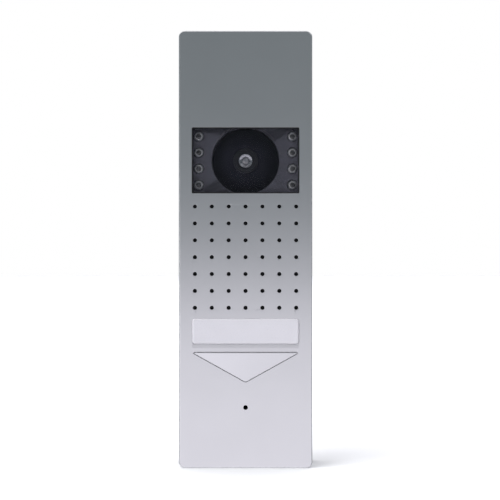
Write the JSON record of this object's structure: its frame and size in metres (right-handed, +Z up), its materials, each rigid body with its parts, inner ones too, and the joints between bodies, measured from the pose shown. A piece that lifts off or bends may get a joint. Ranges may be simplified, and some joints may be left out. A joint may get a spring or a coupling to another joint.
{
  "type": "door intercom panel",
  "caption": "Slim wall-mounted door station with a tilting camera and infrared lamps behind a smoked window, a speaker grille, a lit name window, a triangular call button and a microphone.",
  "frame": {"origin": "centre of the back face, on the wall plane", "axes": "+X to the right as seen by a visitor, +Y into the wall, +Z up; the front faces -Y"},
  "size_m": [0.066, 0.0339, 0.216],
  "materials": {
    "anodised_aluminium": "satin bead-blasted, clear anodised",
    "black_abs": "moulded, fine texture",
    "dark_grey_abs": "moulded, spark-eroded texture",
    "black_rubber": "matt",
    "smoked_window": "gloss, smoked",
    "bezel_plastic": "satin",
    "lamp_resin": "diffused resin",
    "circuit_board": "solder mask",
    "ball_plastic": "matt black",
    "lens_black": "black anodised",
    "lens_glass": "coated",
    "chip_black": "moulded epoxy",
    "screw_steel": "zinc plated",
    "plug_nylon": "natural nylon",
    "lead_insulation": "satin PVC",
    "cable_sheath": "satin PVC",
    "speaker_cloth": "woven",
    "foam_black": "closed-cell foam",
    "pressed_steel": "zinc plated",
    "cone_paper": "fibrous",
    "coil_copper": "enamelled wire",
    "ferrite": "sintered",
    "clear_window": "frosted polycarbonate",
    "card_paper": "smooth white card",
    "light_guide": "opal",
    "white_abs": "moulded",
    "lamp_phosphor": "silicone",
    "button_aluminium": "satin bead-blasted, clear anodised",
    "spring_steel": "bright wire",
    "actuator_plastic": "moulded",
    "microphone_can": "drawn can",
    "capacitor_sleeve": "shrink sleeve",
    "trimmer_blue": "moulded",
    "terminal_green": "moulded",
    "terminal_brass": "nickel plated",
    "parts_black": "moulded",
    "bracket_steel": "galvanised",
    "stainless_screw": "stainless"
  },
  "bodies": {
    "panel": {"front_plate": "anodised_aluminium", "chassis": "black_abs", "window_gasket": "black_rubber", "camera_window": "smoked_window", "lamp_bezel": "bezel_plastic", "infrared_lamps": "lamp_resin", "lamp_boards": "circuit_board", "camera_carrier": "black_abs", "carrier_screws": "screw_steel", "camera_cable": "cable_sheath", "speaker_mesh": "speaker_cloth", "speaker_gasket": "foam_black", "speaker_basket": "pressed_steel", "speaker_cone": "cone_paper", "voice_coil": "coil_copper", "speaker_magnet": "ferrite", "speaker_yoke": "pressed_steel", "speaker_clips": "pressed_steel", "speaker_screws": "screw_steel", "speaker_and_lamp_leads": "lead_insulation", "board_cable": "cable_sheath", "name_window": "clear_window", "name_card": "card_paper", "light_guide": "light_guide", "light_box": "white_abs", "backlight_lamps": "lamp_phosphor", "button_guide": "black_abs", "button_springs": "spring_steel", "call_switch": "chip_black", "microphone": "microphone_can", "microphone_boot": "black_rubber", "audio_board": "circuit_board", "audio_board_screws": "screw_steel", "audio_chips": "chip_black", "audio_capacitors": "capacitor_sleeve", "speaker_trimmer": "trimmer_blue", "microphone_trimmer": "trimmer_blue", "terminal_board": "circuit_board", "terminal_board_screws": "screw_steel", "terminal_block": "terminal_green", "terminal_screws": "terminal_brass", "terminal_board_parts": "parts_black", "rear_housing": "dark_grey_abs", "housing_seal": "black_rubber", "housing_screws": "screw_steel", "adjustment_plugs": "black_rubber", "wall_bracket": "bracket_steel", "locking_screw": "stainless_screw"},
    "camera": {"camera_ball": "ball_plastic", "lens_barrel": "lens_black", "lens_glass": "lens_glass", "lens_holder": "black_abs", "image_sensor": "chip_black", "camera_board": "circuit_board", "camera_board_screws": "screw_steel", "camera_plug": "plug_nylon"},
    "button": {"call_button": "button_aluminium"},
    "plunger": {"switch_plunger": "actuator_plastic"},
    "speaker_rotor": {"speaker_trimmer_rotor": "actuator_plastic"},
    "microphone_rotor": {"microphone_trimmer_rotor": "actuator_plastic"}
  },
  "joints": [
    {"name": "call_button_press", "type": "slide", "parent": "panel", "child": "button", "axis": [0, 1, 0], "range_m": [0, 0.001], "stiffness_N_per_m": 800, "springref_m": -0.001, "deforming": ["button_springs"]},
    {"name": "call_switch_press", "type": "slide", "parent": "panel", "child": "plunger", "axis": [0, 1, 0], "range_m": [0, 0.001], "stiffness_N_per_m": 200, "springref_m": -0.001},
    {"name": "camera_tilt", "type": "hinge", "parent": "panel", "child": "camera", "pos_m": [0, -0.01, 0.0439], "axis": [1, 0, 0], "range_deg": [-10, 10], "deforming": ["camera_cable"]},
    {"name": "speaker_volume_turn", "type": "hinge", "parent": "panel", "child": "speaker_rotor", "pos_m": [-0.01, -0.0132, -0.068], "axis": [0, 1, 0], "range_deg": [-135, 135]},
    {"name": "microphone_volume_turn", "type": "hinge", "parent": "panel", "child": "microphone_rotor", "pos_m": [0.01, -0.0132, -0.068], "axis": [0, 1, 0], "range_deg": [-135, 135]}
  ],
  "couplings": [
    {"joint": "call_switch_press", "follows": "call_button_press", "ratio": 1}
  ]
}
